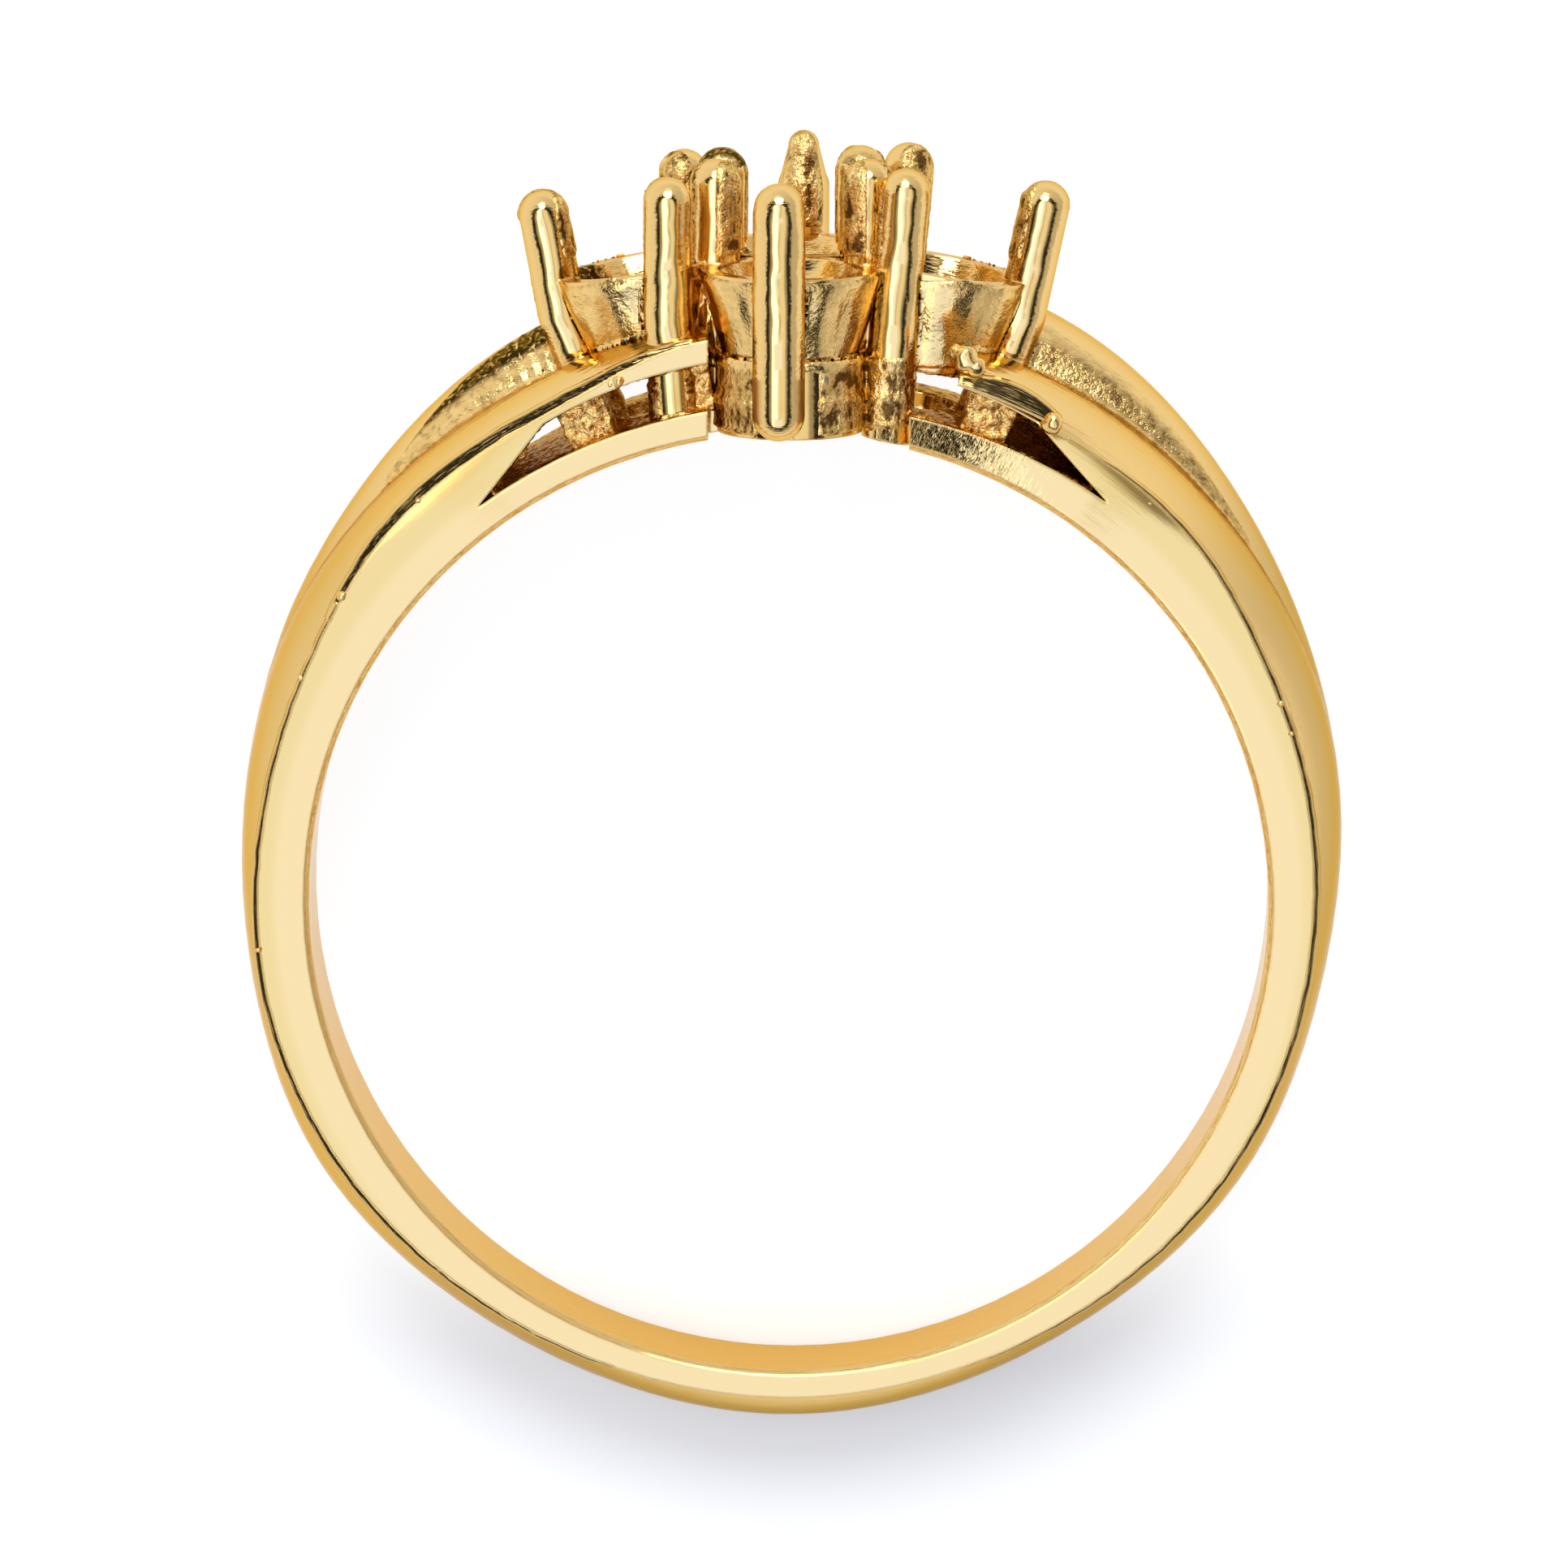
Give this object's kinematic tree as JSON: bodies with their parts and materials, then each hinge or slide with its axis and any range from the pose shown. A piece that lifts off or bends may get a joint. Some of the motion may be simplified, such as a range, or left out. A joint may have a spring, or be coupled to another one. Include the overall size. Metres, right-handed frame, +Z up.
{
  "type": "semi mount ring setting",
  "caption": "Ring mounting with a tapered grooved shank, pierced shoulders that bypass the head, and cup seats with prongs for round stones.",
  "frame": {"origin": "on the surface the ring lies on, under the middle of its bounding box", "axes": "+Z up, out of the finger hole's front side; +Y towards the head with the seats; +X to the right as seen from the front. The ring lies on its side, tipped by the head's back prong."},
  "size_m": [0.02, 0.0234, 0.0076],
  "materials": {
    "gold": "polished yellow gold"
  },
  "bodies": {
    "root": {"ring_mounting": "gold"}
  },
  "joints": []
}
